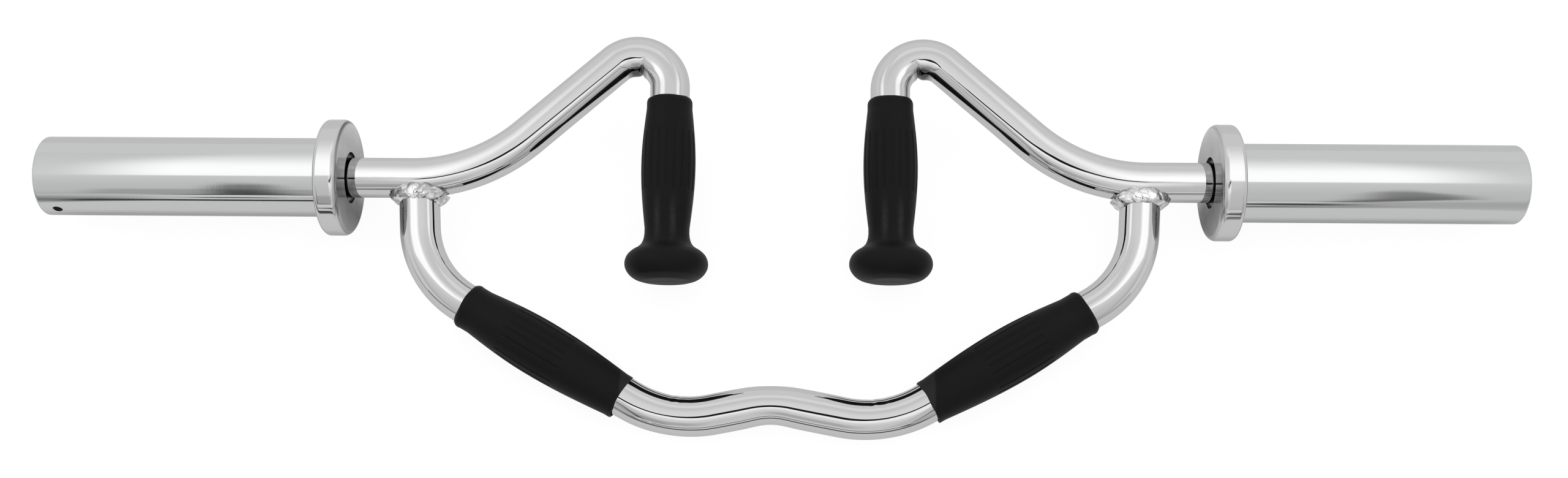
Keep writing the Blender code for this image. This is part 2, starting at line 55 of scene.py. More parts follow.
# Sizes of the bars, as packed
ROD = 12.7
COLLAR_FACE = 272.165
LEG_X = 228.965
LEG_LEAN = math.radians(4.2)
LEG_TOP = -8.0
HOOK_X = 70.6
GRIP_SLOPE = math.radians(30.2)
ARM_CORNERS = {
    "left": [(436.465, 0.0), (191.765, 0.0), (HOOK_X, 107.1), (HOOK_X, -56.02)],
    "right": [(436.465, 0.0), (190.7, 0.0), (HOOK_X, 106.5), (HOOK_X, -56.02)],
}
ARM_RADII = [110.0, 21.3]
LEG_CORNER = (224.257, -64.1)
LEFT_BELLY = (-67.5, -153.9)
RIGHT_BELLY = (67.5, -154.9)
HUMP = (-4.0, -141.3)
LOWER_RADII = [60.0, 75.0, 70.0, 75.0, 60.0]

# Sizes of the sleeves, with heights from the collar's inboard face
COLLAR_RADIUS = 36.9
COLLAR_WIDTH = 15.0
COLLAR_WEB = 5.0
COLLAR_BORE = 16.2
SLEEVE_RADIUS = 25.0
SLEEVE_BORE = 20.0
SLEEVE_START = 5.3
SLEEVE_END = 193.0
SCREW_HEIGHT = 181.7
SCREW_HOLE = 2.85
SCREW_ANGLE = {"left": math.radians(169.4), "right": math.radians(-10.6)}

# Sizes of the grips, with heights from an upright grip's top and from an angled grip's belly
GRIP_TOP = 52.98
GRIP_BORE = 13.0
UPRIGHT_BELLY = -44.0
UPRIGHT_BELLY_RADIUS = 17.25
LIP_RADIUS = 14.6
LIP_DROP = 3.4
WAIST_RADIUS = 14.2
KNOB_OUTLINE = [(14.2, -88.0), (14.6, -91.0), (15.2, -93.0), (16.2, -95.0), (18.2, -97.0),
                (22.1, -99.5), (24.9, -102.5), (26.2, -106.0), (26.1, -109.5), (24.8, -112.5),
                (22.7, -115.0), (19.8, -117.0), (15.9, -118.3)]
KNOB_END = -118.5
KNOB_LIFT = {"left": 0.0, "right": 0.8}
ANGLED_BELLY = (148.605, -108.130)
ANGLED_BELLY_RADIUS = 17.8
ANGLED_INNER_RADIUS = 14.2
ANGLED_SHIFT = {"left": 0.0, "right": -4.0}
ANGLED_OUTER = {"left": 54.0, "right": 55.0}
ANGLED_INNER = {"left": -60.5, "right": -60.3}
ANGLED_OUTER_RADIUS = 14.5
ROLL_HEIGHT = 0.2
# How far above and below its belly each kind of grip tapers, and how far its flutes reach
UPRIGHT_TAPER = (37.0, 40.5)
ANGLED_TAPER = (44.0, 56.0)
UPRIGHT_FLUTES = (22.0, 18.0)
ANGLED_FLUTES = (22.0, 20.0)
FLUTES = 20
FLUTE_DEPTH = 0.55
FLUTE_HALF = math.radians(3.6)

# The camera, fitted to the photograph: its place and turn relative to the bar's plane
PHOTO_WIDTH = 2560
SENSOR_WIDTH = 36.0
FOCAL_PIXELS = 2659.98
CAMERA_SHIFT = Vector((-2.9665, 37.2026, -1033.81))
YAW = -0.0093
PITCH = -0.19
ROLL = -0.0083

random = np.random.default_rng(12)


# Shapes

def rounded(corners, radii, bend_step, straight_step):
    """Points along a line through the corners, with each inner corner rounded."""
    corners = [np.array(c, float) for c in corners]
    points = [corners[0]]
    for before, corner, after, radius in zip(corners, corners[1:], corners[2:], radii):
        back = (before - corner) / np.linalg.norm(before - corner)
        on = (after - corner) / np.linalg.norm(after - corner)
        half = math.acos(np.clip(back @ on, -1, 1)) / 2
        if half > math.pi / 2 - 1e-4:
            continue
        centre = corner + (back + on) / np.linalg.norm(back + on) * radius / math.sin(half)
        start = corner + back * radius / math.tan(half)
        turn = math.copysign(math.pi - 2 * half, back[1] * on[0] - back[0] * on[1])
        count = max(3, math.ceil(abs(turn) * radius / bend_step))
        points += straight(points[-1], start, straight_step)
        for i in range(1, count + 1):
            angle = turn * i / count
            spun = np.array([[math.cos(angle), -math.sin(angle)], [math.sin(angle), math.cos(angle)]])
            points.append(centre + spun @ (start - centre))
    points += straight(points[-1], corners[-1], straight_step)
    return np.array(points)


def straight(start, end, step):
    """Points from start to end, without the start."""
    count = max(1, math.ceil(np.linalg.norm(end - start) / step))
    return [start + (end - start) * i / count for i in range(1, count + 1)]


def smooth_through(points, count):
    """A smooth line through points, with so many steps between each two."""
    points = np.array(points, float)
    at = run_of(points)
    slopes = np.gradient(points, at, axis=0)
    share = np.linspace(0, 1, count, endpoint=False)[:, None]
    ease = share ** 2 * (3 - 2 * share)
    line = []
    for i in range(len(points) - 1):
        leave = share * (1 - share) ** 2 * slopes[i]
        arrive = share ** 2 * (share - 1) * slopes[i + 1]
        line += list(points[i] + ease * (points[i + 1] - points[i]) + (at[i + 1] - at[i]) * (leave + arrive))
    return np.array(line + [points[-1]])


def run_of(path):
    """Length along the path up to each of its points."""
    return np.concatenate([[0.0], np.cumsum(np.linalg.norm(np.diff(path, axis=0), axis=1))])


def tube(path, radius, angles):
    """Rings about a path in the plane. Angle 0 is to its left, and a quarter turn is out of the plane."""
    along = np.gradient(path, axis=0)
    along /= np.linalg.norm(along, axis=1)[:, None]
    left = np.stack([-along[:, 1], along[:, 0]], axis=1)
    rings = np.zeros((len(path), len(angles), 3))
    rings[:, :, :2] = path[:, None, :] + radius[:, :, None] * np.cos(angles)[None, :, None] * left[:, None, :]
    rings[:, :, 2] = radius * np.sin(angles)[None, :]
    return rings


def turned(radius, heights, angles):
    """Rings about local Z, one for each height."""
    rings = np.zeros((len(heights), len(angles), 3))
    rings[:, :, 0] = radius * np.cos(angles)[None, :]
    rings[:, :, 1] = radius * np.sin(angles)[None, :]
    rings[:, :, 2] = heights[:, None]
    return rings


def circle(count):
    return np.linspace(0, 2 * math.pi, count, endpoint=False)


def skin(rings, looped=False, capped=False):
    """Vertices and faces over a grid of rings."""
    rows, columns, _ = rings.shape
    faces = []
    for i in range(rows if looped else rows - 1):
        low, high = i * columns, (i + 1) % rows * columns
        for j in range(columns):
            k = (j + 1) % columns
            faces.append((low + j, low + k, high + k, high + j))
    if capped:
        faces.append(tuple(range(columns)))
        faces.append(tuple(range((rows - 1) * columns, rows * columns)))
    return rings.reshape(-1, 3), faces


def build(name, vertices, faces, matrix, material, body, nodes):
    """A shown piece from vertices in millimetres, standing for CAD nodes and moving with their body."""
    mesh = bpy.data.meshes.new(name)
    mesh.from_pydata((np.array(vertices) / 1000).tolist(), [], faces)
    mesh.transform(matrix)
    shape = bmesh.new()
    shape.from_mesh(mesh)
    bmesh.ops.remove_doubles(shape, verts=shape.verts, dist=1e-7)
    bmesh.ops.recalc_face_normals(shape, faces=shape.faces)
    shape.to_mesh(mesh)
    shape.free()
    mesh.shade_smooth()
    mesh.materials.append(material)
    made = bpy.data.objects.new(name, mesh)
    bpy.context.scene.collection.objects.link(made)
    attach(made, body)
    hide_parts(*nodes)
    return made


# Finishes

PLATING = (0.55, 0.553, 0.556)
PLATING_GREY = 0.553
# Metals are a little darker than a plain model where they are seen along the surface
EDGE_TINT = 0.8
# Where the plating is scuffed beside the left weld, along X and Y of the row frame
SCUFF_X = (-0.262, -0.241)
SCUFF_Y = (0.028, 0.041)
# The pinch inside each hook in the bar's plane, how far the painted shade round it reaches, and how much of
# the plating's grey that painted shade leaves there
PINCH = (0.0915, 0.0690)
PINCH_SHADE_REACH = (0.0060, 0.0040)
PINCH_SHADE_GREY_SHARE = 0.16
# How much painted shade darkens a collar's faces below its rim, along Y from the sleeve's axis
FACE_PAINTED_SHADE = [(-0.033, 0.19), (-0.026, 0.23), (-0.018, 0.28), (-0.010, 0.24), (-0.002, 0.10), (0.008, 0.06),
             (0.017, 0.07), (0.033, 0.02)]
# Grey levels of the rubber: its own, the painted highlight streaks added to that, and the painted light under
# each knob added to that
RUBBER_GREY = 0.004
STREAK_HIGHLIGHT_GREY = 0.018
UNDERSIDE_LIGHT_GREY = 0.012
# Two painted highlight streaks beside an upright grip's middle, the edge of the painted light under its knob,
# and the mould seam
HIGHLIGHT_STREAKS = [(-0.0060, -0.0030), (0.0040, 0.0070)]
UNDERSIDE = (-0.0636, -0.0624)
SEAM = 0.00025


def new_material(name, colour, roughness, metallic):
    """A material with one plain shader, its node tree and the shader."""
    made = bpy.data.materials.get(name) or bpy.data.materials.new(name)
    made.use_nodes = True
    made.node_tree.nodes.clear()
    tree = made.node_tree
    shader = tree.nodes.new("ShaderNodeBsdfPrincipled")
    output = tree.nodes.new("ShaderNodeOutputMaterial")
    tree.links.new(shader.outputs["BSDF"], output.inputs["Surface"])
    shader.inputs["Base Color"].default_value = (*colour, 1.0)
    shader.inputs["Roughness"].default_value = roughness
    shader.inputs["Metallic"].default_value = metallic
    if metallic == 1.0:
        shader.inputs["Specular Tint"].default_value = (EDGE_TINT, EDGE_TINT, EDGE_TINT, 1.0)
    return made, tree, shader


def feed(tree, socket, value):
    if isinstance(value, bpy.types.NodeSocket):
        tree.links.new(value, socket)
    else:
        socket.default_value = value


def maths(tree, operation, *values):
    node = tree.nodes.new("ShaderNodeMath")
    node.operation = operation
    for socket, value in zip(node.inputs, values):
        feed(tree, socket, value)
    return node.outputs["Value"]


def product(tree, first, *others):
    for other in others:
        first = maths(tree, "MULTIPLY", first, other)
    return first


def total(tree, first, *others):
    for other in others:
        first = maths(tree, "ADD", first, other)
    return first


def without(tree, share):
    """What a share leaves of 1."""
    return maths(tree, "SUBTRACT", 1.0, share)


def mixed(tree, share, first, last):
    """The first value where the share is 0, and the last where it is 1."""
    return maths(tree, "MULTIPLY_ADD", share, maths(tree, "SUBTRACT", last, first), first)


def distance(tree, across, up):
    return maths(tree, "SQRT", total(tree, product(tree, across, across), product(tree, up, up)))


def place(tree):
    """The point's coordinates in the row frame at rest."""
    return tree.nodes.new("ShaderNodeTexCoord").outputs["Object"]


def split(tree, vector):
    node = tree.nodes.new("ShaderNodeSeparateXYZ")
    tree.links.new(vector, node.inputs["Vector"])
    return [node.outputs[axis] for axis in "XYZ"]


def joined(tree, x, y, z):
    node = tree.nodes.new("ShaderNodeCombineXYZ")
    for socket, value in zip(node.inputs, (x, y, z)):
        feed(tree, socket, value)
    return node.outputs["Vector"]


def set_grey(tree, socket, level):
    """Feeds one level to all the channels of a colour."""
    tree.links.new(joined(tree, level, level, level), socket)


def grain(tree, vector, scale, detail=2.0, roughness=0.5):
    node = tree.nodes.new("ShaderNodeTexNoise")
    tree.links.new(vector, node.inputs["Vector"])
    node.inputs["Scale"].default_value = scale
    node.inputs["Detail"].default_value = detail
    node.inputs["Roughness"].default_value = roughness
    return node.outputs["Fac"]


def spread(tree, value, low, high, to_low, to_high):
    """Maps a value from one range to another and holds it there."""
    node = tree.nodes.new("ShaderNodeMapRange")
    for key, number in (("From Min", low), ("From Max", high), ("To Min", to_low), ("To Max", to_high)):
        node.inputs[key].default_value = number
    tree.links.new(value, node.inputs["Value"])
    return node.outputs["Result"]


def levels(tree, value, stops):
    """Brightness along a value, from (value, level) pairs, straight between them."""
    node = tree.nodes.new("ShaderNodeFloatCurve")
    low, high = stops[0][0], stops[-1][0]
    top = max(level for at, level in stops)
    curve = node.mapping.curves[0]
    while len(curve.points) < len(stops):
        curve.points.new(0.5, 0.5)
    for point, (at, level) in zip(curve.points, stops):
        point.location = ((at - low) / (high - low), level / top)
        point.handle_type = "VECTOR"
    node.mapping.update()
    tree.links.new(spread(tree, value, low, high, 0.0, 1.0), node.inputs["Value"])
    return product(tree, node.outputs["Value"], top)


def window(tree, value, low, high, soft):
    """1 between two values and 0 outside, with soft ends."""
    edges = []
    for middle, first, last in ((low, 0.0, 1.0), (high, 1.0, 0.0)):
        node = tree.nodes.new("ShaderNodeMapRange")
        node.interpolation_type = "SMOOTHSTEP"
        for key, number in (("From Min", middle - soft), ("From Max", middle + soft),
                            ("To Min", first), ("To Max", last)):
            node.inputs[key].default_value = number
        tree.links.new(value, node.inputs["Value"])
        edges.append(node.outputs["Result"])
    return product(tree, *edges)


def relief(tree, shader, height, depth, over=None):
    """Small bumps in the shading, laid over others if these are given."""
    node = tree.nodes.new("ShaderNodeBump")
    node.inputs["Strength"].default_value = 1.0
    node.inputs["Distance"].default_value = depth
    tree.links.new(height, node.inputs["Height"])
    if over is not None:
        tree.links.new(over, node.inputs["Normal"])
    tree.links.new(node.outputs["Normal"], shader.inputs["Normal"])
    return node.outputs["Normal"]


def plane_height(tree, y, z):
    """How far a point lies along the bar's own Y, from row frame coordinates."""
    ahead = product(tree, maths(tree, "SUBTRACT", y, AXIS_Y), math.cos(TILT))
    return maths(tree, "MULTIPLY_ADD", maths(tree, "SUBTRACT", z, AXIS_Z), math.sin(TILT), ahead)


def plane_depth(tree, y, z):
    """How far a point lies out of the bar's plane, from row frame coordinates."""
    rise = product(tree, maths(tree, "SUBTRACT", z, AXIS_Z), math.cos(TILT))
    ahead = product(tree, maths(tree, "SUBTRACT", y, AXIS_Y), math.sin(TILT))
    return maths(tree, "SUBTRACT", rise, ahead)


def mirror_chrome():
    """Polished plating with faint waves and fine rubs, scuffed beside the left weld, with painted shade in
    the pinch inside each hook.
    """
    made, tree, shader = new_material("chrome", PLATING, 0.03, 1.0)
    here = place(tree)
    x, y, z = split(tree, here)
    rub = grain(tree, here, 900.0, 4.0)
    tree.links.new(spread(tree, rub, 0.35, 0.75, 0.012, 0.045), shader.inputs["Roughness"])
    waved = relief(tree, shader, grain(tree, here, 60.0), 0.00005)
    scuffed = product(tree, window(tree, x, *SCUFF_X, 0.004), window(tree, y, *SCUFF_Y, 0.003))
    pits = grain(tree, here, 1500.0, 2.0, 0.7)
    relief(tree, shader, product(tree, scuffed, pits), 0.000025, over=waved)
    # Painted shade: the plating's grey falls to a ragged dark patch round the pinch inside each hook
    off_x = maths(tree, "SUBTRACT", maths(tree, "ABSOLUTE", x), PINCH[0])
    off_y = maths(tree, "SUBTRACT", plane_height(tree, y, z), PINCH[1])
    off_x = maths(tree, "DIVIDE", off_x, PINCH_SHADE_REACH[0])
    off_y = maths(tree, "DIVIDE", off_y, PINCH_SHADE_REACH[1])
    ragged = maths(tree, "MULTIPLY_ADD", grain(tree, here, 500.0, 3.0), 0.5, distance(tree, off_x, off_y))
    level = product(tree, spread(tree, ragged, 0.75, 1.5, PINCH_SHADE_GREY_SHARE, 1.0), PLATING_GREY)
    set_grey(tree, shader.inputs["Base Color"], level)
    return made


def about_sleeve(tree):
    """Coordinates along the sleeves, and across and up from their axis."""
    x, y, z = split(tree, place(tree))
    return x, maths(tree, "SUBTRACT", y, AXIS_Y), maths(tree, "SUBTRACT", z, AXIS_Z)


def satin_chrome(name, low, high):
    """Plating polished in fine rings round the sleeve, with its roughness between two values."""
    made, tree, shader = new_material(name, PLATING, 0.2, 1.0)
    x, across, up = about_sleeve(tree)
    rings = joined(tree, product(tree, x, 2600.0), product(tree, across, 60.0), product(tree, up, 60.0))
    polish = grain(tree, rings, 1.0, 3.0)
    tree.links.new(spread(tree, polish, 0.3, 0.7, low, high), shader.inputs["Roughness"])
    relief(tree, shader, polish, 0.000004)
    return made


def collar_chrome():
    """Polished round the rim and turned to satin on the faces, with painted shade on the faces that is
    darkest towards -Y, and a painted dark reflection line where rim and faces meet.
    """
    made, tree, shader = new_material("collar_chrome", PLATING, 0.06, 1.0)
    x, across, up = about_sleeve(tree)
    height = maths(tree, "SUBTRACT", maths(tree, "ABSOLUTE", x), COLLAR_FACE / 1000)
    face = window(tree, height, -0.01, 0.0003, 0.0003)
    fillet = window(tree, height, 0.0003, 0.0035, 0.0006)
    lines = grain(tree, joined(tree, product(tree, distance(tree, across, up), 2200.0), 0.0, 0.0), 1.0, 3.0)
    rough = total(tree, product(tree, face, 0.06), product(tree, fillet, 0.12), product(tree, lines, 0.03))
    tree.links.new(total(tree, rough, 0.045), shader.inputs["Roughness"])
    # Painted shade on the faces, darkest towards -Y, with a random cloud in it
    fall = levels(tree, across, FACE_PAINTED_SHADE)
    cloud = spread(tree, grain(tree, place(tree), 70.0, 3.0), 0.3, 0.7, -0.04, 0.04)
    shade = product(tree, face, total(tree, fall, cloud))
    # A painted dark reflection line along the inboard fillet, stronger behind the axis and fainter on the
    # right
    stronger_behind = spread(tree, across, -0.01, 0.03, 0.22, 0.46)
    fainter_right = spread(tree, x, -0.1, 0.1, 1.0, 0.3)
    painted_dark_line = product(tree, window(tree, height, 0.0004, 0.0016, 0.0005), stronger_behind, fainter_right)
    level = maths(tree, "SUBTRACT", PLATING_GREY, total(tree, shade, painted_dark_line))
    set_grey(tree, shader.inputs["Base Color"], level)
    # The same painted shade also darkens the faces' edge tint
    painted_edge_shade = product(tree, face, maths(tree, "MULTIPLY_ADD", fall, 1.6, -0.2))
    set_grey(tree, shader.inputs["Specular Tint"], maths(tree, "SUBTRACT", EDGE_TINT, painted_edge_shade))
    relief(tree, shader, lines, 0.000003)
    return made


def weld_metal():
    """Bright lumpy metal with pits and a mottled burn."""
    made, tree, shader = new_material("weld_metal", (0.64, 0.64, 0.64), 0.14, 1.0)
    here = place(tree)
    pits = grain(tree, here, 700.0)
    tree.links.new(spread(tree, pits, 0.35, 0.7, 0.06, 0.2), shader.inputs["Roughness"])
    pitted = relief(tree, shader, pits, 0.00004)
    relief(tree, shader, grain(tree, here, 260.0), 0.00035, over=pitted)
    burn = grain(tree, here, 200.0, 3.0)
    set_grey(tree, shader.inputs["Base Color"], spread(tree, burn, 0.38, 0.62, 0.40, 0.74))
    return made


def black_rubber():
    """Dull black rubber: a fine grain, a mould seam, painted highlight streaks under the flutes and painted
    light under each knob.
    """
    made, tree, shader = new_material("black_rubber", (RUBBER_GREY,) * 3, 0.55, 0.0)
    here = place(tree)
    x, y, z = split(tree, here)
    off = maths(tree, "SUBTRACT", maths(tree, "ABSOLUTE", x), HOOK_X / 1000)
    # Painted highlight streaks below the flutes of each upright grip, uneven in strength
    streaks = total(tree, *[window(tree, off, *edges, 0.0016) for edges in HIGHLIGHT_STREAKS])
    uneven_highlight = spread(tree, grain(tree, here, 260.0), 0.3, 0.7, 0.5, 1.0)
    painted_streak_highlight = product(tree, streaks, window(tree, y, -0.006, 0.014, 0.010), uneven_highlight)
    seam = window(tree, plane_depth(tree, y, z), -SEAM, SEAM, 0.0002)
    plain_skin = without(tree, seam)
    # Painted light on the underside of each knob, brightest at its foot and left off the mould seam
    underside = spread(tree, plane_height(tree, y, z), *UNDERSIDE, UNDERSIDE_LIGHT_GREY, 0.0)
    painted_underside_light = product(tree, underside, window(tree, off, -0.026, 0.026, 0.001), plain_skin)
    level = total(tree, maths(tree, "MULTIPLY_ADD", painted_streak_highlight, STREAK_HIGHLIGHT_GREY, RUBBER_GREY), painted_underside_light)
    set_grey(tree, shader.inputs["Base Color"], level)
    shader.inputs["Specular IOR Level"].default_value = 0.12
    tree.links.new(maths(tree, "MULTIPLY_ADD", seam, 0.45, 0.55), shader.inputs["Roughness"])
    grained = relief(tree, shader, grain(tree, here, 2200.0, 3.0), 0.00006)
    relief(tree, shader, plain_skin, 0.0003, over=grained)
    return made


def plain(name, colour, roughness, metallic, scale, low, high):
    """A finish of one colour, with its roughness between two values."""
    made, tree, shader = new_material(name, colour, roughness, metallic)
    fine = grain(tree, place(tree), scale, 3.0)
    tree.links.new(spread(tree, fine, 0.3, 0.7, low, high), shader.inputs["Roughness"])
    return made


CHROME = mirror_chrome()
SLEEVE_CHROME = satin_chrome("satin_chrome", 0.03, 0.08)
COLLAR_CHROME = collar_chrome()
WELD = weld_metal()
RUBBER = black_rubber()
CAP_STEEL = plain("cap_steel", (0.50, 0.50, 0.51), 0.3, 1.0, 400.0, 0.22, 0.36)
ZINC = plain("zinc_plated_steel", (0.56, 0.57, 0.58), 0.4, 1.0, 600.0, 0.3, 0.5)
BRONZE = plain("bearing_bronze", (0.52, 0.33, 0.16), 0.38, 1.0, 700.0, 0.3, 0.46)
BLACK_STEEL = plain("black_steel", (0.04, 0.04, 0.045), 0.45, 1.0, 900.0, 0.38, 0.55)


# The bars

# The pinch inside each hook: how many degrees past the hook's top it lies, how deep and wide it is, how far
# it reaches round the rod, and how much it slants
PINCH_TURN = 20.0
PINCH_DEPTH = 1.9
PINCH_WIDTH = 2.4
PINCH_SPAN = 1.3
PINCH_SLANT = -0.9
# How far before the pinch the metal swells, over what reach, and how high
SWELLING_BEFORE = 8.0
SWELLING_REACH = 8.0
SWELLING_HEIGHT = {"left": 0.5, "right": 1.0}
# The pinches lie higher than this in the bar's plane
HOOKS_ABOVE = 60


def round_from(angles, inner):
    """Angle between a point of the rod's skin and the inside of the bend."""
    return np.abs((angles - inner + math.pi) % (2 * math.pi) - math.pi)


def crease(run, angles, at, inner, depth, width, span, slant=0.0):
    """A sharp valley across the inside of a bend, which keeps its depth and then runs out round the rod."""
    off = round_from(angles, inner)
    left = np.clip(1 - off / span, 0, 1)
    wide = width * (0.45 + 0.55 * left)
    away = np.abs(run[:, None] - at - slant * off[None, :]) / wide[None, :]
    return -depth * (left ** 0.7)[None, :] * np.exp(-away ** 1.2)


def swelling(run, angles, at, inner, height, reach, power=1.5):
    """Metal pushed up beside a crease."""
    over = np.clip(np.cos(round_from(angles, inner)), 0, 1) ** power
    return height * over[None, :] * np.exp(-((run - at) / reach) ** 2)[:, None]


def make_arm(name, side):
    path = rounded(ARM_CORNERS[name], ARM_RADII, 0.45, 4.0) * (side, 1)
    angles = circle(144)
    run = run_of(path)
    fall = np.degrees(np.arctan2(-np.gradient(path[:, 1]), np.abs(np.gradient(path[:, 0]))))
    at = run[np.argmin(np.where(path[:, 1] > HOOKS_ABOVE, np.abs(fall - PINCH_TURN), np.inf))]
    inner = math.pi if side < 0 else 0.0
    radius = np.full((len(path), len(angles)), ROD)
    radius += swelling(run, angles, at - SWELLING_BEFORE, inner, SWELLING_HEIGHT[name], SWELLING_REACH, 4.0)
    radius += crease(run, angles, at, inner, PINCH_DEPTH, PINCH_WIDTH, PINCH_SPAN, PINCH_SLANT)
    rings = tube(path, radius, angles)
    vertices, faces = skin(rings, capped=True)
    build(name + "_arm", vertices, faces, BAR_PLANE, CHROME, "frame", [name + "_arm_bar"])


def leg_x(y):
    return LEG_X + y * math.tan(LEG_LEAN)


# Small wrinkles on the inside of the belly's two bends: where along X, how deep and how wide
BELLY_WRINKLES = [(-66.0, 0.20, 1.5), (-61.5, 0.12, 1.1), (60.0, 0.24, 1.6), (68.0, 0.10, 1.2)]

# Where the lower bar is squeezed thinner by its bends: along X, by what share and over what reach
FLATTENED = [(-65.0, 0.03, 20.0), (-4.0, 0.06, 13.0), (62.0, 0.025, 20.0)]


def make_lower_bar():
    leg = [(leg_x(LEG_TOP), LEG_TOP), LEG_CORNER]
    corners = leg + [RIGHT_BELLY, HUMP, LEFT_BELLY] + [(-x, y) for x, y in reversed(leg)]
    path = rounded(corners, LOWER_RADII, 1.5, 4.0)
    angles = circle(96)
    run = run_of(path)
    flat = sum(size * np.exp(-((path[:, 0] - x) / reach) ** 2) for x, size, reach in FLATTENED)
    radius = ROD * (1 - flat[:, None] * np.cos(angles)[None, :] ** 2)
    for x, depth, width in BELLY_WRINKLES:
        at = run[np.argmin(np.abs(path[:, 0] - x))]
        radius += crease(run, angles, at, math.pi, depth, width, 1.2)
        radius += swelling(run, angles, at - 3, math.pi, 0.7 * depth, 1.8)
    rings = tube(path, radius, angles)
    for end in (rings[0], rings[-1]):
        saddle = -np.sqrt(np.maximum(ROD ** 2 - end[:, 2] ** 2, 0)) - 0.3
        end[:, 1] = np.minimum(end[:, 1], saddle)
    vertices, faces = skin(rings, capped=True)
    build("lower_tube", vertices, faces, BAR_PLANE, CHROME, "frame", ["lower_bar"])


# The weld beads: how far each reaches along the arm from the leg's axis and out of the bar's plane, how round
# its corners are, how low its foot lies, how thick its hidden core is, how it bulges in front, at its corners
# and beside the leg, and in how many scales it was laid
BEAD_ALONG = 18.4
BEAD_OUT = 10.9
BEAD_ROUNDNESS = 0.72
BEAD_FOOT = -15.3
BEAD_CORE = 10.5
BEAD_FRONT = 1.9
BEAD_CORNERS = 3.2
BEAD_BESIDE = 0.4
BEAD_RIPPLE = 0.65
SCALES = 11


def make_bead(name, side):
    """A thick fillet weld from the arm down to the leg, laid round it in overlapping scales."""
    turns = circle(720)
    cosine, sine = np.cos(turns), np.sin(turns)
    beside, front = cosine ** 2, sine ** 2
    wobble = np.array([noise.noise(Vector((1.7 * c, 1.7 * s, side * 5))) for c, s in zip(cosine, sine)])
    phase = SCALES * turns / (2 * math.pi) + 0.9 * wobble
    scallop = np.abs(np.sin(math.pi * phase))
    out = np.sign(cosine) * np.abs(cosine) ** BEAD_ROUNDNESS
    up = np.sign(sine) * np.abs(sine) ** BEAD_ROUNDNESS
    along = leg_x(-12) + (BEAD_ALONG + 0.8 * wobble + 0.5 * scallop) * out
    depth = (BEAD_OUT + 0.7 * scallop) * up
    upper = np.stack([along, 0.25 - np.sqrt(ROD ** 2 - depth ** 2), depth], axis=1)
    height = BEAD_FOOT - 2.4 * np.abs(cosine) ** 5 - 0.8 * scallop
    lower = np.stack([leg_x(height) + (ROD - 0.15) * cosine, height, (ROD - 0.15) * sine], axis=1)
    core = np.stack([leg_x(-8) + BEAD_CORE * cosine, -2 - 9 * beside, BEAD_CORE * sine], axis=1)
    outward = np.stack([0.67 * cosine, -0.74 * beside, sine], axis=1)
    outward /= np.linalg.norm(outward, axis=1)[:, None]
    rings = []
    for t in np.linspace(0, 1, 40):
        swell = math.sin(math.pi * t) ** 0.8
        bend = phase + 0.8 * (t - 0.5) + 0.35 * math.sin(math.pi * t)
        scale = bend % 1.0
        ripple = np.minimum(scale / 0.22, 1) * (1 - scale) ** 0.8
        bulge = BEAD_FRONT * front + BEAD_CORNERS * front * beside + BEAD_BESIDE * beside
        bulge = swell * (bulge + BEAD_RIPPLE * (ripple - 0.3))
        rings.append((1 - t) * upper + t * lower + outward * bulge[:, None])
    rings.append(core)
    rings = np.array(rings).transpose(1, 0, 2)
    rings[:, :, 0] *= side
    for ring, flank in zip(rings, beside):
        for point in ring[1:-2]:
            lump = 0.5 * noise.noise(Vector(point) * 0.24) + 0.08 * noise.noise(Vector(point) * 0.8)
            lump *= 1 - 0.4 * flank ** 3
            point += (point - np.array([side * LEG_X, point[1], 0])) / 14 * lump
    vertices, faces = skin(rings, looped=True)
    build(name + "_weld", vertices, faces, BAR_PLANE, WELD, "frame", [name + "_weld_bead"])


# The sleeves

def sleeve_rings(side, profile, sides):
    """A closed profile of (radius, height) points turned about a sleeve's axis, in the row frame."""
    angles = circle(sides)
    rings = np.zeros((len(profile), sides, 3))
    rings[:, :, 0] = side * (COLLAR_FACE + profile[:, 1])[:, None]
    rings[:, :, 1] = AXIS_Y * 1000 + profile[:, 0][:, None] * np.cos(angles)[None, :]
    rings[:, :, 2] = AXIS_Z * 1000 + profile[:, 0][:, None] * np.sin(angles)[None, :]
    return rings


def outline(corners):
    """A closed profile from (radius, height, fillet) corners, with close points beside each fillet."""
    closed = corners[-1:] + corners + corners[:1]
    points = []
    for before, corner, after in zip(closed, closed[1:], closed[2:]):
        middle = np.array(corner[:2], float)
        fillet = corner[2]
        back = np.array(before[:2], float) - middle
        on = np.array(after[:2], float) - middle
        reach = fillet + min(fillet, 0.6)
        near = [middle + back / np.linalg.norm(back) * reach, middle + on / np.linalg.norm(on) * reach]
        round_off = rounded([near[0], middle, near[1]], [fillet], min(fillet * 0.2, 0.4), 2 * fillet)
        points += list(round_off)
    return np.array(points)


def make_collar(name, side):
    profile = outline([
        (25.3, COLLAR_WIDTH, 0.2),
        (COLLAR_RADIUS, COLLAR_WIDTH, 3.0),
        (COLLAR_RADIUS, 0.0, 4.2),
        (COLLAR_BORE, 0.0, 0.4),
        (COLLAR_BORE, COLLAR_WEB, 0.2),
        (25.3, COLLAR_WEB, 0.2),
    ])
    vertices, faces = skin(sleeve_rings(side, profile, 160), looped=True)
    build(name + "_stop", vertices, faces, Matrix(), COLLAR_CHROME, name + "_sleeve", [name + "_collar"])


# How far from the sleeve's axis the cutter of a screw's hole starts and ends, and the chamfer at its mouth
CUTTER_START = 14.0
CUTTER_END = 30.0
CUTTER_SIDES = 48
CHAMFER = 0.4


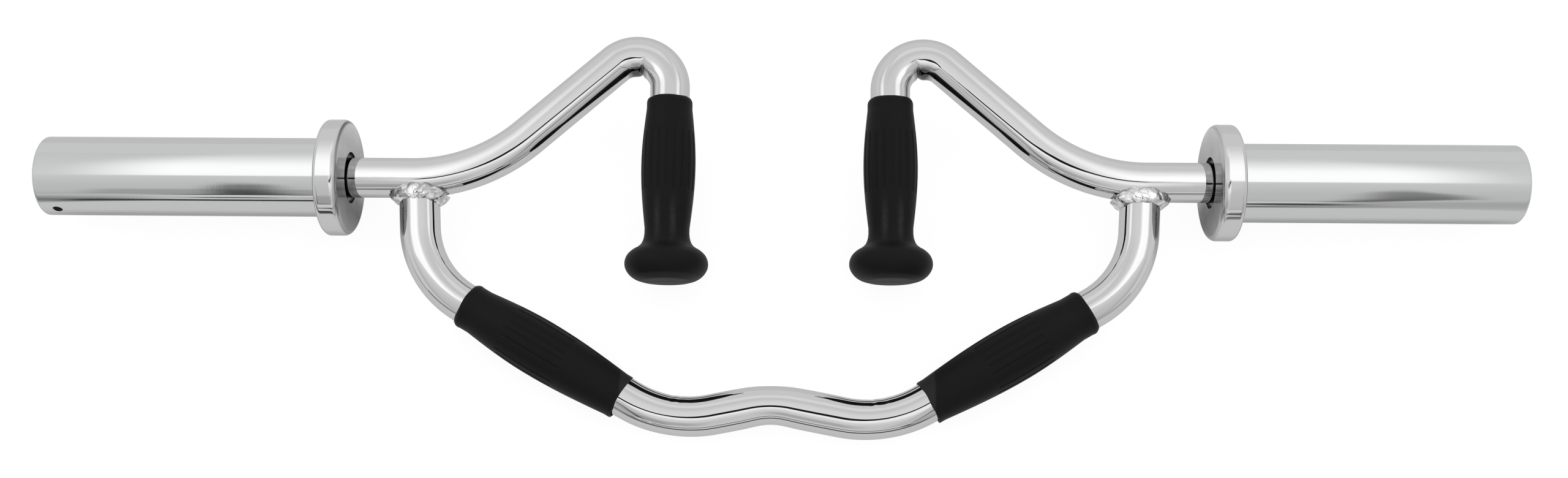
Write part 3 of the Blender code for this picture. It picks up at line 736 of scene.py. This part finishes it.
def screw_hole(side, name):
    """A cutter for the set screw's hole, with a small chamfer at its mouth."""
    mouth = SCREW_HOLE + CHAMFER
    profile = np.array([(0.01, CUTTER_START), (SCREW_HOLE, CUTTER_START), (SCREW_HOLE, SLEEVE_RADIUS - 0.35),
                        (mouth, SLEEVE_RADIUS + 0.02), (mouth, CUTTER_END), (0.01, CUTTER_END)])
    radius = np.repeat(profile[:, :1], CUTTER_SIDES, axis=1)
    vertices, faces = skin(turned(radius, profile[:, 1], circle(CUTTER_SIDES)), capped=True)
    mesh = bpy.data.meshes.new(name + "_hole")
    mesh.from_pydata((vertices / 1000).tolist(), [], faces)
    angle = SCREW_ANGLE[name]
    out = Vector((0, math.cos(angle), math.sin(angle)))
    spot = Matrix.Translation((side * (COLLAR_FACE + SCREW_HEIGHT) / 1000, AXIS_Y, AXIS_Z))
    mesh.transform(spot @ out.to_track_quat("Z", "Y").to_matrix().to_4x4())
    shape = bmesh.new()
    shape.from_mesh(mesh)
    bmesh.ops.recalc_face_normals(shape, faces=shape.faces)
    shape.to_mesh(mesh)
    shape.free()
    return bpy.data.objects.new(name + "_hole", mesh)


def drill(piece, side, name):
    """Cuts the set screw's hole into a shown piece and keeps its edges crisp."""
    cutter = screw_hole(side, name)
    bpy.context.scene.collection.objects.link(cutter)
    cut = piece.modifiers.new("hole", "BOOLEAN")
    cut.operation = "DIFFERENCE"
    cut.solver = "EXACT"
    cut.object = cutter
    bpy.context.view_layer.update()
    holed = bpy.data.meshes.new_from_object(piece.evaluated_get(bpy.context.evaluated_depsgraph_get()))
    piece.modifiers.clear()
    piece.data = holed
    holed.shade_smooth()
    holed.set_sharp_from_angle(angle=math.radians(32))
    bpy.data.objects.remove(cutter)


def make_sleeve(name, side):
    profile = outline([
        (SLEEVE_BORE, SLEEVE_END, 0.4),
        (SLEEVE_RADIUS, SLEEVE_END, 1.8),
        (SLEEVE_RADIUS, SLEEVE_START, 0.2),
        (SLEEVE_BORE, SLEEVE_START, 0.2),
    ])
    # Rings along the outside, closest beside the screw's hole
    long_side = np.argmax(np.where(profile[:, 0] > 24.9, np.abs(np.diff(profile[:, 1], append=0.0)), 0))
    extra = np.array([(SLEEVE_RADIUS, h) for h in (187.0, 185.5, 178.0, 176.5, 140.0, 90.0, 40.0)])
    profile = np.insert(profile, long_side + 1, extra, axis=0)
    vertices, faces = skin(sleeve_rings(side, profile, 180), looped=True)
    made = build(name + "_plate_sleeve", vertices, faces, Matrix(), SLEEVE_CHROME, name + "_sleeve",
                 [name + "_sleeve_tube"])
    drill(made, side, name)


def make_cap(name, side):
    profile = outline([
        (0.3, SLEEVE_END - 0.7, 0.05),
        (SLEEVE_BORE - 0.3, SLEEVE_END - 0.7, 0.7),
        (SLEEVE_BORE - 0.3, SLEEVE_END - 17.7, 0.2),
        (SLEEVE_BORE - 6.3, SLEEVE_END - 17.7, 0.2),
        (SLEEVE_BORE - 6.3, SLEEVE_END - 5.2, 0.2),
        (0.3, SLEEVE_END - 5.2, 0.05),
    ])
    profile = np.maximum(profile, (0.0, 0.0))
    profile[profile[:, 0] < 0.5, 0] = 0.0
    vertices, faces = skin(sleeve_rings(side, profile, 120), looped=True)
    made = build(name + "_plug", vertices, faces, Matrix(), CAP_STEEL, name + "_sleeve", [name + "_end_cap"])
    drill(made, side, name)


# The grips

def flute_columns():
    """Angles round a grip, close together where a flute runs."""
    offsets = np.radians([-7.0, -4.6, -3.6, -2.9, -2.2, -1.5, -0.7, 0.7, 1.5, 2.2, 2.9, 3.6, 4.6, 7.0])
    return np.concatenate([offsets + 2 * math.pi * i / FLUTES for i in range(FLUTES)])


def flute_depths(heights, angles, middle, reach_up, reach_down):
    """How deep each point lies in a flute: narrow grooves with round ends that don't quite line up."""
    depth = np.zeros((len(heights), len(angles)))
    for i in range(FLUTES):
        centre = 2 * math.pi * i / FLUTES
        top = middle + reach_up + random.uniform(-1.2, 0.8)
        low = middle - reach_down + random.uniform(-0.8, 1.2)
        away = np.abs((angles - centre + math.pi) % (2 * math.pi) - math.pi)
        across = np.clip(1 - (away / FLUTE_HALF) ** 2, 0, 1)
        down = np.clip(np.minimum(top - heights, heights - low) / 1.6, 0, 1)
        depth = np.maximum(depth, across[None, :] * np.sqrt(down * (2 - down))[:, None])
    return FLUTE_DEPTH * depth


def barrel(height, belly, end, taper):
    return end + (belly - end) * np.cos(np.minimum(np.abs(height) / taper, 1.0) * math.pi / 2)


def upright_outline():
    """Radius and height down an upright grip's outside, from the bar out over the lip to the knob's foot."""
    heights = np.concatenate([np.linspace(-0.3, -4, 14), np.linspace(-5, -24, 22), np.linspace(-25, -63, 50),
                              np.linspace(-64, -87, 26)])
    above = barrel(heights - UPRIGHT_BELLY, UPRIGHT_BELLY_RADIUS, LIP_RADIUS, UPRIGHT_TAPER[0])
    below = barrel(heights - UPRIGHT_BELLY, UPRIGHT_BELLY_RADIUS, WAIST_RADIUS, UPRIGHT_TAPER[1])
    radius = np.where(heights > UPRIGHT_BELLY, above, below)
    radius -= 1.3 * np.clip(1 + heights / LIP_DROP, 0, 1) ** 2.4
    lip = np.array([(GRIP_BORE - 0.2, -1.0), (GRIP_BORE - 0.2, -0.1), (LIP_RADIUS - 1.45, -0.02)])
    foot = np.array([(KNOB_OUTLINE[-1][0] * share, KNOB_END) for share in (0.9, 0.7, 0.4, 0.1, 0.001)])
    return np.concatenate([lip, np.stack([radius, heights], axis=1), smooth_through(KNOB_OUTLINE, 5), foot])


def uneven(heights, angles, edge, reach, size, seed):
    """Small shifts along a grip that leave its rim a little ragged."""
    spots = [Vector((1.5 * math.cos(angle), 1.5 * math.sin(angle), seed * 7.3)) for angle in angles]
    ragged = np.array([noise.noise(spot) for spot in spots])
    nick = np.exp(-(round_from(angles, 0.4 * seed) / 0.09) ** 2)
    fade = np.clip(1 - (heights - edge) / reach, 0, 1) ** 2
    return fade[:, None] * (size * (ragged - 0.35) - 0.35 * nick)[None, :]


def make_upright_grip(name, side):
    profile = upright_outline()
    angles = flute_columns()
    radius = np.repeat(profile[:, :1], len(angles), axis=1)
    radius -= flute_depths(profile[:, 1], angles, UPRIGHT_BELLY, *UPRIGHT_FLUTES)
    rings = turned(radius, profile[:, 1], angles)
    rings[:, :, 2] += uneven(profile[:, 1], angles, 0.0, -9.0, 0.55, side)
    down = np.clip((UPRIGHT_BELLY - profile[:, 1]) / (UPRIGHT_BELLY - KNOB_OUTLINE[0][1]), 0, 1)
    rings[:, :, 2] += KNOB_LIFT[name] * down[:, None]
    vertices, faces = skin(rings)
    below_hook = Matrix.Translation((side * HOOK_X / 1000, GRIP_TOP / 1000, 0))
    matrix = BAR_PLANE @ below_hook @ Matrix.Rotation(-math.pi / 2, 4, "X")
    build(name + "_knob_grip", vertices, faces, matrix, RUBBER, "frame", [name + "_upright_grip"])


def make_angled_grip(name, side):
    top, low = ANGLED_OUTER[name], ANGLED_INNER[name]
    heights = np.concatenate([np.linspace(top - 0.3, top - 5, 24), np.linspace(top - 6, 25, 22),
                              np.linspace(24, -23, 60), np.linspace(-24, low + 0.6, 30)])
    outer = barrel(heights, ANGLED_BELLY_RADIUS, ANGLED_OUTER_RADIUS, ANGLED_TAPER[0])
    inner = barrel(heights, ANGLED_BELLY_RADIUS, ANGLED_INNER_RADIUS, ANGLED_TAPER[1])
    body = np.stack([np.where(heights > 0, outer, inner), heights], axis=1)
    body[:, 0] += ROLL_HEIGHT * np.clip((heights - top + 4.2) / 0.8, 0, 1)
    body[:, 0] -= 1.3 * np.clip(1 - (top - heights) / 2.6, 0, 1) ** 2.2
    start = np.array([(GRIP_BORE - 0.2, top - 1), (GRIP_BORE - 0.2, top), (ANGLED_OUTER_RADIUS - 0.9, top)])
    end = np.array([(ANGLED_INNER_RADIUS - 0.2, low + 0.2), (ANGLED_INNER_RADIUS - 0.6, low),
                    (GRIP_BORE - 0.2, low), (GRIP_BORE - 0.2, low + 1)])
    profile = np.concatenate([start, body, end])
    angles = flute_columns()
    radius = np.repeat(profile[:, :1], len(angles), axis=1)
    radius -= flute_depths(profile[:, 1], angles, 0.0, *ANGLED_FLUTES)
    rings = turned(radius, profile[:, 1], angles)
    rings[:, :, 2] += uneven(profile[:, 1], angles, top, -8.0, 0.5, side)
    rings[:, :, 2] -= uneven(profile[:, 1], angles, low, 7.0, 0.6, -side)
    rings[:, :, 2] += ANGLED_SHIFT[name]
    vertices, faces = skin(rings, looped=True)
    slope = Vector((side * math.cos(GRIP_SLOPE), math.sin(GRIP_SLOPE), 0.0))
    belly = Matrix.Translation((side * ANGLED_BELLY[0] / 1000, ANGLED_BELLY[1] / 1000, 0))
    matrix = BAR_PLANE @ belly @ slope.to_track_quat("Z", "Y").to_matrix().to_4x4()
    build(name + "_slanted_grip", vertices, faces, matrix, RUBBER, "frame", [name + "_angled_grip"])


make_lower_bar()
for name, side in SIDES.items():
    make_arm(name, side)
    make_bead(name, side)
    make_collar(name, side)
    make_sleeve(name, side)
    make_cap(name, side)
    make_upright_grip(name, side)
    make_angled_grip(name, side)

# Finishes on the CAD pieces that are shown as they are
KEPT = {
    "thrust_washer": ZINC,
    "retaining_washer": ZINC,
    "snap_ring": ZINC,
    "inner_bush": BRONZE,
    "outer_bush": BRONZE,
    "cap_set_screw": BLACK_STEEL,
}
for name in SIDES:
    for label, material in KEPT.items():
        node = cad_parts[name + "_" + label]
        node.data.materials.clear()
        node.data.materials.append(material)


# Studio

def sheet(name, corners, material):
    """One flat piece of the studio."""
    mesh = bpy.data.meshes.new(name)
    mesh.from_pydata(corners, [], [(0, 1, 2, 3)])
    mesh.materials.append(material)
    made = bpy.data.objects.new(name, mesh)
    bpy.context.scene.collection.objects.link(made)
    return made


def hide(piece):
    """Leaves a piece of the studio to reflections and soft surfaces alone."""
    piece.visible_camera = False
    piece.visible_shadow = False


def card(name, across, along, height, material):
    """A hidden flat piece over the bar's plane, from its two edges along X and along Y."""
    near, far = across
    front, back = along
    made = sheet(name, [(near, front, 0), (far, front, 0), (far, back, 0), (near, back, 0)], material)
    made.matrix_world = BAR_PLANE @ Matrix.Translation((0, 0, height))
    hide(made)


def glow(name, clear):
    """A material that gives off light, see-through under it if asked."""
    made = bpy.data.materials.new(name)
    made.use_nodes = True
    tree = made.node_tree
    tree.nodes.clear()
    output = tree.nodes.new("ShaderNodeOutputMaterial")
    light = tree.nodes.new("ShaderNodeEmission")
    surface = light.outputs["Emission"]
    if clear:
        both = tree.nodes.new("ShaderNodeAddShader")
        tree.links.new(tree.nodes.new("ShaderNodeBsdfTransparent").outputs["BSDF"], both.inputs[0])
        tree.links.new(surface, both.inputs[1])
        surface = both.outputs["Shader"]
    tree.links.new(surface, output.inputs["Surface"])
    return made, tree, light


# The floor's own grey, how far it and the wall reach, and how white it looks
FLOOR_GREY = 0.12
FLOOR_REACH = 6
FLOOR_WHITE = 0.91
# Where polished metal sees the floor dark: before the bar's middle and its ends, and painted shadows under
# the knobs and sleeves
STRIP_Y = (-0.34, -0.215)
FIELD_START = 0.38
FIELD_SLOPE = 2.2
FIELD_EDGE = -1.196
FIELD_NEAREST = -0.13
KNOB_SHADOW_X = (0.042, 0.125)
KNOB_SHADOW_Y = (-0.067, -0.043)
SLEEVE_SHADOW_X = (0.25, 0.48)
SLEEVE_SHADOW_Y = (-0.012, 0.085)


def floor_ends(tree, x, y, far):
    """How dark the floor is before each sleeve, up to an edge that comes nearer the bar towards its ends."""
    # Constant along one cross-section of a sleeve, as the camera sees it mirrored there
    along = maths(tree, "MULTIPLY_ADD", y, 0.43, far)
    slant = maths(tree, "MULTIPLY_ADD", maths(tree, "MAXIMUM", along, FIELD_START), FIELD_SLOPE, FIELD_EDGE)
    past_edge = maths(tree, "SUBTRACT", y, maths(tree, "MINIMUM", slant, FIELD_NEAREST))
    deeper = spread(tree, past_edge, -0.2, 0.0, 1.0, 0.45)
    faded = product(tree, spread(tree, x, 0.2, 0.25, 0.0, 1.0), spread(tree, along, 0.22, 0.34, 0.25, 0.75))
    faded = maths(tree, "MAXIMUM", faded, spread(tree, along, 0.45, 0.475, 0.0, 0.3))
    return product(tree, deeper, spread(tree, past_edge, -0.02, 0.02, 1.0, 0.0), without(tree, faded))


def make_floor():
    """A white floor that polished metal sees dark in front of the bar, with painted shadows under its knobs
    and sleeves.
    """
    made, tree, shader = new_material("floor", (FLOOR_GREY,) * 3, 0.9, 0.0)
    path = tree.nodes.new("ShaderNodeLightPath")
    mirrored = path.outputs["Is Glossy Ray"]
    seen = maths(tree, "MAXIMUM", path.outputs["Is Camera Ray"], mirrored)
    x, y, _ = split(tree, place(tree))
    far = maths(tree, "ABSOLUTE", x)
    over_middle = window(tree, far, -1.0, 0.22, 0.03)
    front = mixed(tree, over_middle, floor_ends(tree, x, y, far), window(tree, y, *STRIP_Y, 0.012))
    # Painted shadows on the floor, seen only in reflections: under the knobs and, fainter, under the sleeves
    knobs = product(tree, window(tree, y, *KNOB_SHADOW_Y, 0.006), window(tree, far, *KNOB_SHADOW_X, 0.008))
    sleeves = product(tree, window(tree, y, *SLEEVE_SHADOW_Y, 0.02), window(tree, far, *SLEEVE_SHADOW_X, 0.03), 0.35)
    dark = maths(tree, "MAXIMUM", front, maths(tree, "MAXIMUM", knobs, sleeves))
    bright = without(tree, product(tree, dark, 0.93, mirrored))
    set_grey(tree, shader.inputs["Base Color"], product(tree, bright, FLOOR_GREY))
    shader.inputs["Specular IOR Level"].default_value = 0.0
    shader.inputs["Emission Color"].default_value = (1.0, 1.0, 1.0, 1.0)
    white = maths(tree, "MULTIPLY_ADD", mirrored, -0.11, FLOOR_WHITE)
    tree.links.new(product(tree, seen, white, bright), shader.inputs["Emission Strength"])
    reach = FLOOR_REACH
    sheet("floor", [(-reach, -reach, 0), (reach, -reach, 0), (reach, reach, 0), (-reach, reach, 0)], made)


# The ceiling's edges and height, and its brightness from front to back, over the bar's middle and its ends
CEILING_X = (-2.4, 2.4)
CEILING_Y = (-2.34, 1.6)
CEILING_HEIGHT = 1.0
CEILING_MIDDLE = [(-2.4, 0.94), (-2.0, 0.94), (-1.08, 0.97), (-0.76, 1.12), (-0.656, 1.22), (-0.55, 1.45),
                  (-0.42, 1.5), (-0.2, 1.2), (0.166, 1.14), (0.416, 1.0), (0.537, 0.96), (0.75, 0.99),
                  (0.86, 1.18), (1.6, 1.15)]
CEILING_ENDS = [(-2.4, 0.74), (-1.9, 0.80), (-1.5, 0.84), (-0.9, 0.86), (-0.6, 0.90), (-0.3, 0.97),
                (-0.1, 1.08), (0.2, 1.05), (0.7, 1.0), (1.6, 0.95)]
# The dark wedge in front on each side: its inner and outer edge, and how dark it gets, along Y
WEDGE_INNER = [(-2.4, 1.03), (-2.0, 0.99), (-1.5, 0.88), (-0.95, 0.74), (-0.7, 0.70), (-0.4, 0.69)]
LEFT_OUTER = [(-2.4, 1.42), (-2.15, 1.26), (-2.0, 1.16), (-1.5, 1.00), (-1.0, 0.865), (-0.7, 0.78),
              (-0.4, 0.73)]
RIGHT_OUTER = [(-2.4, 1.25), (-1.9, 1.19), (-1.5, 1.17), (-1.0, 0.99), (-0.7, 0.86), (-0.4, 0.77)]
WEDGE_DEPTH = [(-2.4, 0.80), (-2.0, 0.82), (-1.5, 0.78), (-1.0, 0.65), (-0.75, 0.60), (-0.62, 0.25),
               (-0.5, 0.05), (-0.4, 0.0)]
# The dark slot: its middle, how it slants on each side, half its width inside and outside, and where it ends
SLOT_MIDDLE = -0.322
SLOT_SLANT_RIGHT = 0.375
SLOT_SLANT_LEFT = 0.09
SLOT_HALF = (0.10, 0.055)
SLOT_END = 0.46


def dark_slot(tree, x, y, far):
    """How dark the slot beside the camera is: it slants up to the right and narrows towards its ends."""
    rise = product(tree, maths(tree, "MAXIMUM", x, 0.0), SLOT_SLANT_RIGHT)
    fall = product(tree, maths(tree, "MINIMUM", x, 0.0), SLOT_SLANT_LEFT)
    middle = total(tree, rise, fall, SLOT_MIDDLE)
    half = spread(tree, far, 0.05, 0.22, *SLOT_HALF)
    beside = maths(tree, "DIVIDE", maths(tree, "SUBTRACT", y, middle), half)
    inside = window(tree, beside, -1.0, 1.0, 0.12)
    return product(tree, inside, window(tree, far, -1.0, SLOT_END, 0.05), 0.985)


def dark_wedge(tree, x, y, far):
    """How dark the wedge in front of each sleeve is, between its inner and its outer edge."""
    right = spread(tree, x, -0.1, 0.1, 0.0, 1.0)
    inner = maths(tree, "MULTIPLY_ADD", right, 0.09, levels(tree, y, WEDGE_INNER))
    outer = mixed(tree, right, levels(tree, y, LEFT_OUTER), levels(tree, y, RIGHT_OUTER))
    across = maths(tree, "DIVIDE", maths(tree, "SUBTRACT", far, inner), maths(tree, "SUBTRACT", outer, inner))
    inside = product(tree, window(tree, across, 0.05, 9.0, 0.3), window(tree, across, -9.0, 0.95, 0.22))
    return product(tree, inside, levels(tree, y, WEDGE_DEPTH), maths(tree, "MULTIPLY_ADD", right, -0.1, 1.0))


def left_bands(tree, x, y, far):
    """What two faint bands on the left leave of the light: along the front edge, and behind the wedge."""
    edge = product(tree, window(tree, y, -2.40, -2.14, 0.05), window(tree, x, -1.35, -0.6, 0.1))
    inwards = spread(tree, maths(tree, "MULTIPLY_ADD", y, 0.4, far), 0.58, 0.64, 1.0, 0.0)
    tail = product(tree, window(tree, y, -2.05, -1.15, 0.15), spread(tree, x, -0.2, 0.2, 1.0, 0.0), inwards)
    return product(tree, without(tree, product(tree, edge, 0.7)), without(tree, product(tree, tail, 0.3)))


def make_ceiling():
    """A white ceiling with a dark slot beside the camera and two soft dark wedges in front."""
    made, tree, light = glow("ceiling", clear=False)
    x, y, _ = split(tree, place(tree))
    far = maths(tree, "ABSOLUTE", x)
    over_middle = window(tree, far, -1.0, 0.5, 0.08)
    level = mixed(tree, over_middle, levels(tree, y, CEILING_ENDS), levels(tree, y, CEILING_MIDDLE))
    level = product(tree, level, without(tree, dark_slot(tree, x, y, far)))
    level = product(tree, level, without(tree, dark_wedge(tree, x, y, far)))
    level = product(tree, level, spread(tree, far, 1.3, 1.8, 1.0, 0.88), left_bands(tree, x, y, far))
    tree.links.new(level, light.inputs["Strength"])
    card("ceiling", CEILING_X, CEILING_Y, CEILING_HEIGHT, made)


# The wall far in front: where it stands, its height, and its dark rail, which is wider towards the right end
WALL_Y = -3
WALL_TOP = 0.85
RAIL_X = (-1.5, 1.2)
RAIL_Z = (0.22, 0.40)
WIDE_RAIL_X = (1.1, 1.38)
WIDE_RAIL_Z = (0.10, 0.50)


def make_horizon():
    """A low white wall far in front, with a dark rail along it and dimmer towards its ends."""
    made, tree, light = glow("horizon", clear=False)
    x, _, z = split(tree, place(tree))
    long_rail = product(tree, window(tree, z, *RAIL_Z, 0.02), window(tree, x, *RAIL_X, 0.06))
    wide_rail = product(tree, window(tree, z, *WIDE_RAIL_Z, 0.03), window(tree, x, *WIDE_RAIL_X, 0.1))
    how_dark = maths(tree, "MULTIPLY_ADD", window(tree, x, -1.29, -1.16, 0.03), -0.6, 0.9)
    rail = product(tree, maths(tree, "MAXIMUM", long_rail, wide_rail), how_dark)
    left_end = product(tree, spread(tree, x, -1.7, -1.5, 0.55, 0.0), spread(tree, z, 0.15, 0.85, 1.0, 0.1))
    right_end = spread(tree, x, 1.28, 1.42, 0.0, 0.35)
    dim = maths(tree, "MAXIMUM", left_end, right_end)
    tree.links.new(product(tree, without(tree, rail), without(tree, dim)), light.inputs["Strength"])
    foot = [(-FLOOR_REACH, WALL_Y, 0), (FLOOR_REACH, WALL_Y, 0)]
    hide(sheet("horizon", foot + [(x, y, WALL_TOP) for x, y, _ in reversed(foot)], made))


# A panel's brightness along Y, where it is lit along X, its edges, height and strength
PANEL_LEVELS = [(-0.10, 0.0), (-0.065, 0.0), (-0.05, 0.9), (0.03, 1.0), (0.12, 0.98), (0.17, 0.85),
                (0.27, 0.55), (0.43, 0.25), (0.7, 0.0), (0.8, 0.0)]
PANEL_LIT = (0.25, 0.555)
PANEL_X = (0.15, 0.65)
PANEL_Y = (-0.1, 0.8)
PANEL_HEIGHT = 0.35
PANEL_STRENGTH = 0.72


def make_panel(name, side):
    """A soft light over each end of the bar, brightest near its middle and sharp along its front edge."""
    made, tree, light = glow(name + "_panel", clear=True)
    x, y, _ = split(tree, place(tree))
    lit = window(tree, product(tree, x, side), *PANEL_LIT, 0.06)
    strength = product(tree, lit, levels(tree, y, PANEL_LEVELS), PANEL_STRENGTH)
    tree.links.new(strength, light.inputs["Strength"])
    card(name + "_panel", [side * edge for edge in PANEL_X], PANEL_Y, PANEL_HEIGHT, made)


def make_world():
    world = bpy.data.worlds.new("studio")
    bpy.context.scene.world = world
    world.use_nodes = True
    tree = world.node_tree
    tree.nodes.clear()
    output = tree.nodes.new("ShaderNodeOutputWorld")
    light = tree.nodes.new("ShaderNodeBackground")
    tree.links.new(light.outputs["Background"], output.inputs["Surface"])
    light.inputs["Color"].default_value = (1.0, 1.0, 1.0, 1.0)


def make_camera():
    data = bpy.data.cameras.new("camera")
    data.sensor_width = SENSOR_WIDTH
    data.lens = FOCAL_PIXELS / PHOTO_WIDTH * SENSOR_WIDTH
    data.clip_start = 0.01
    data.clip_end = 50.0
    turn = Matrix.Rotation(ROLL, 3, "Z") @ Matrix.Rotation(PITCH, 3, "X") @ Matrix.Rotation(YAW, 3, "Y")
    turn.transpose()
    spot = turn @ -CAMERA_SHIFT / 1000
    camera = bpy.data.objects.new("camera", data)
    camera.matrix_world = BAR_PLANE @ Matrix.Translation(spot) @ turn.to_4x4()
    bpy.context.scene.collection.objects.link(camera)
    bpy.context.scene.camera = camera


make_floor()
make_ceiling()
make_horizon()
for name, side in SIDES.items():
    make_panel(name, side)
make_world()
make_camera()
bpy.context.scene.view_settings.view_transform = "Standard"
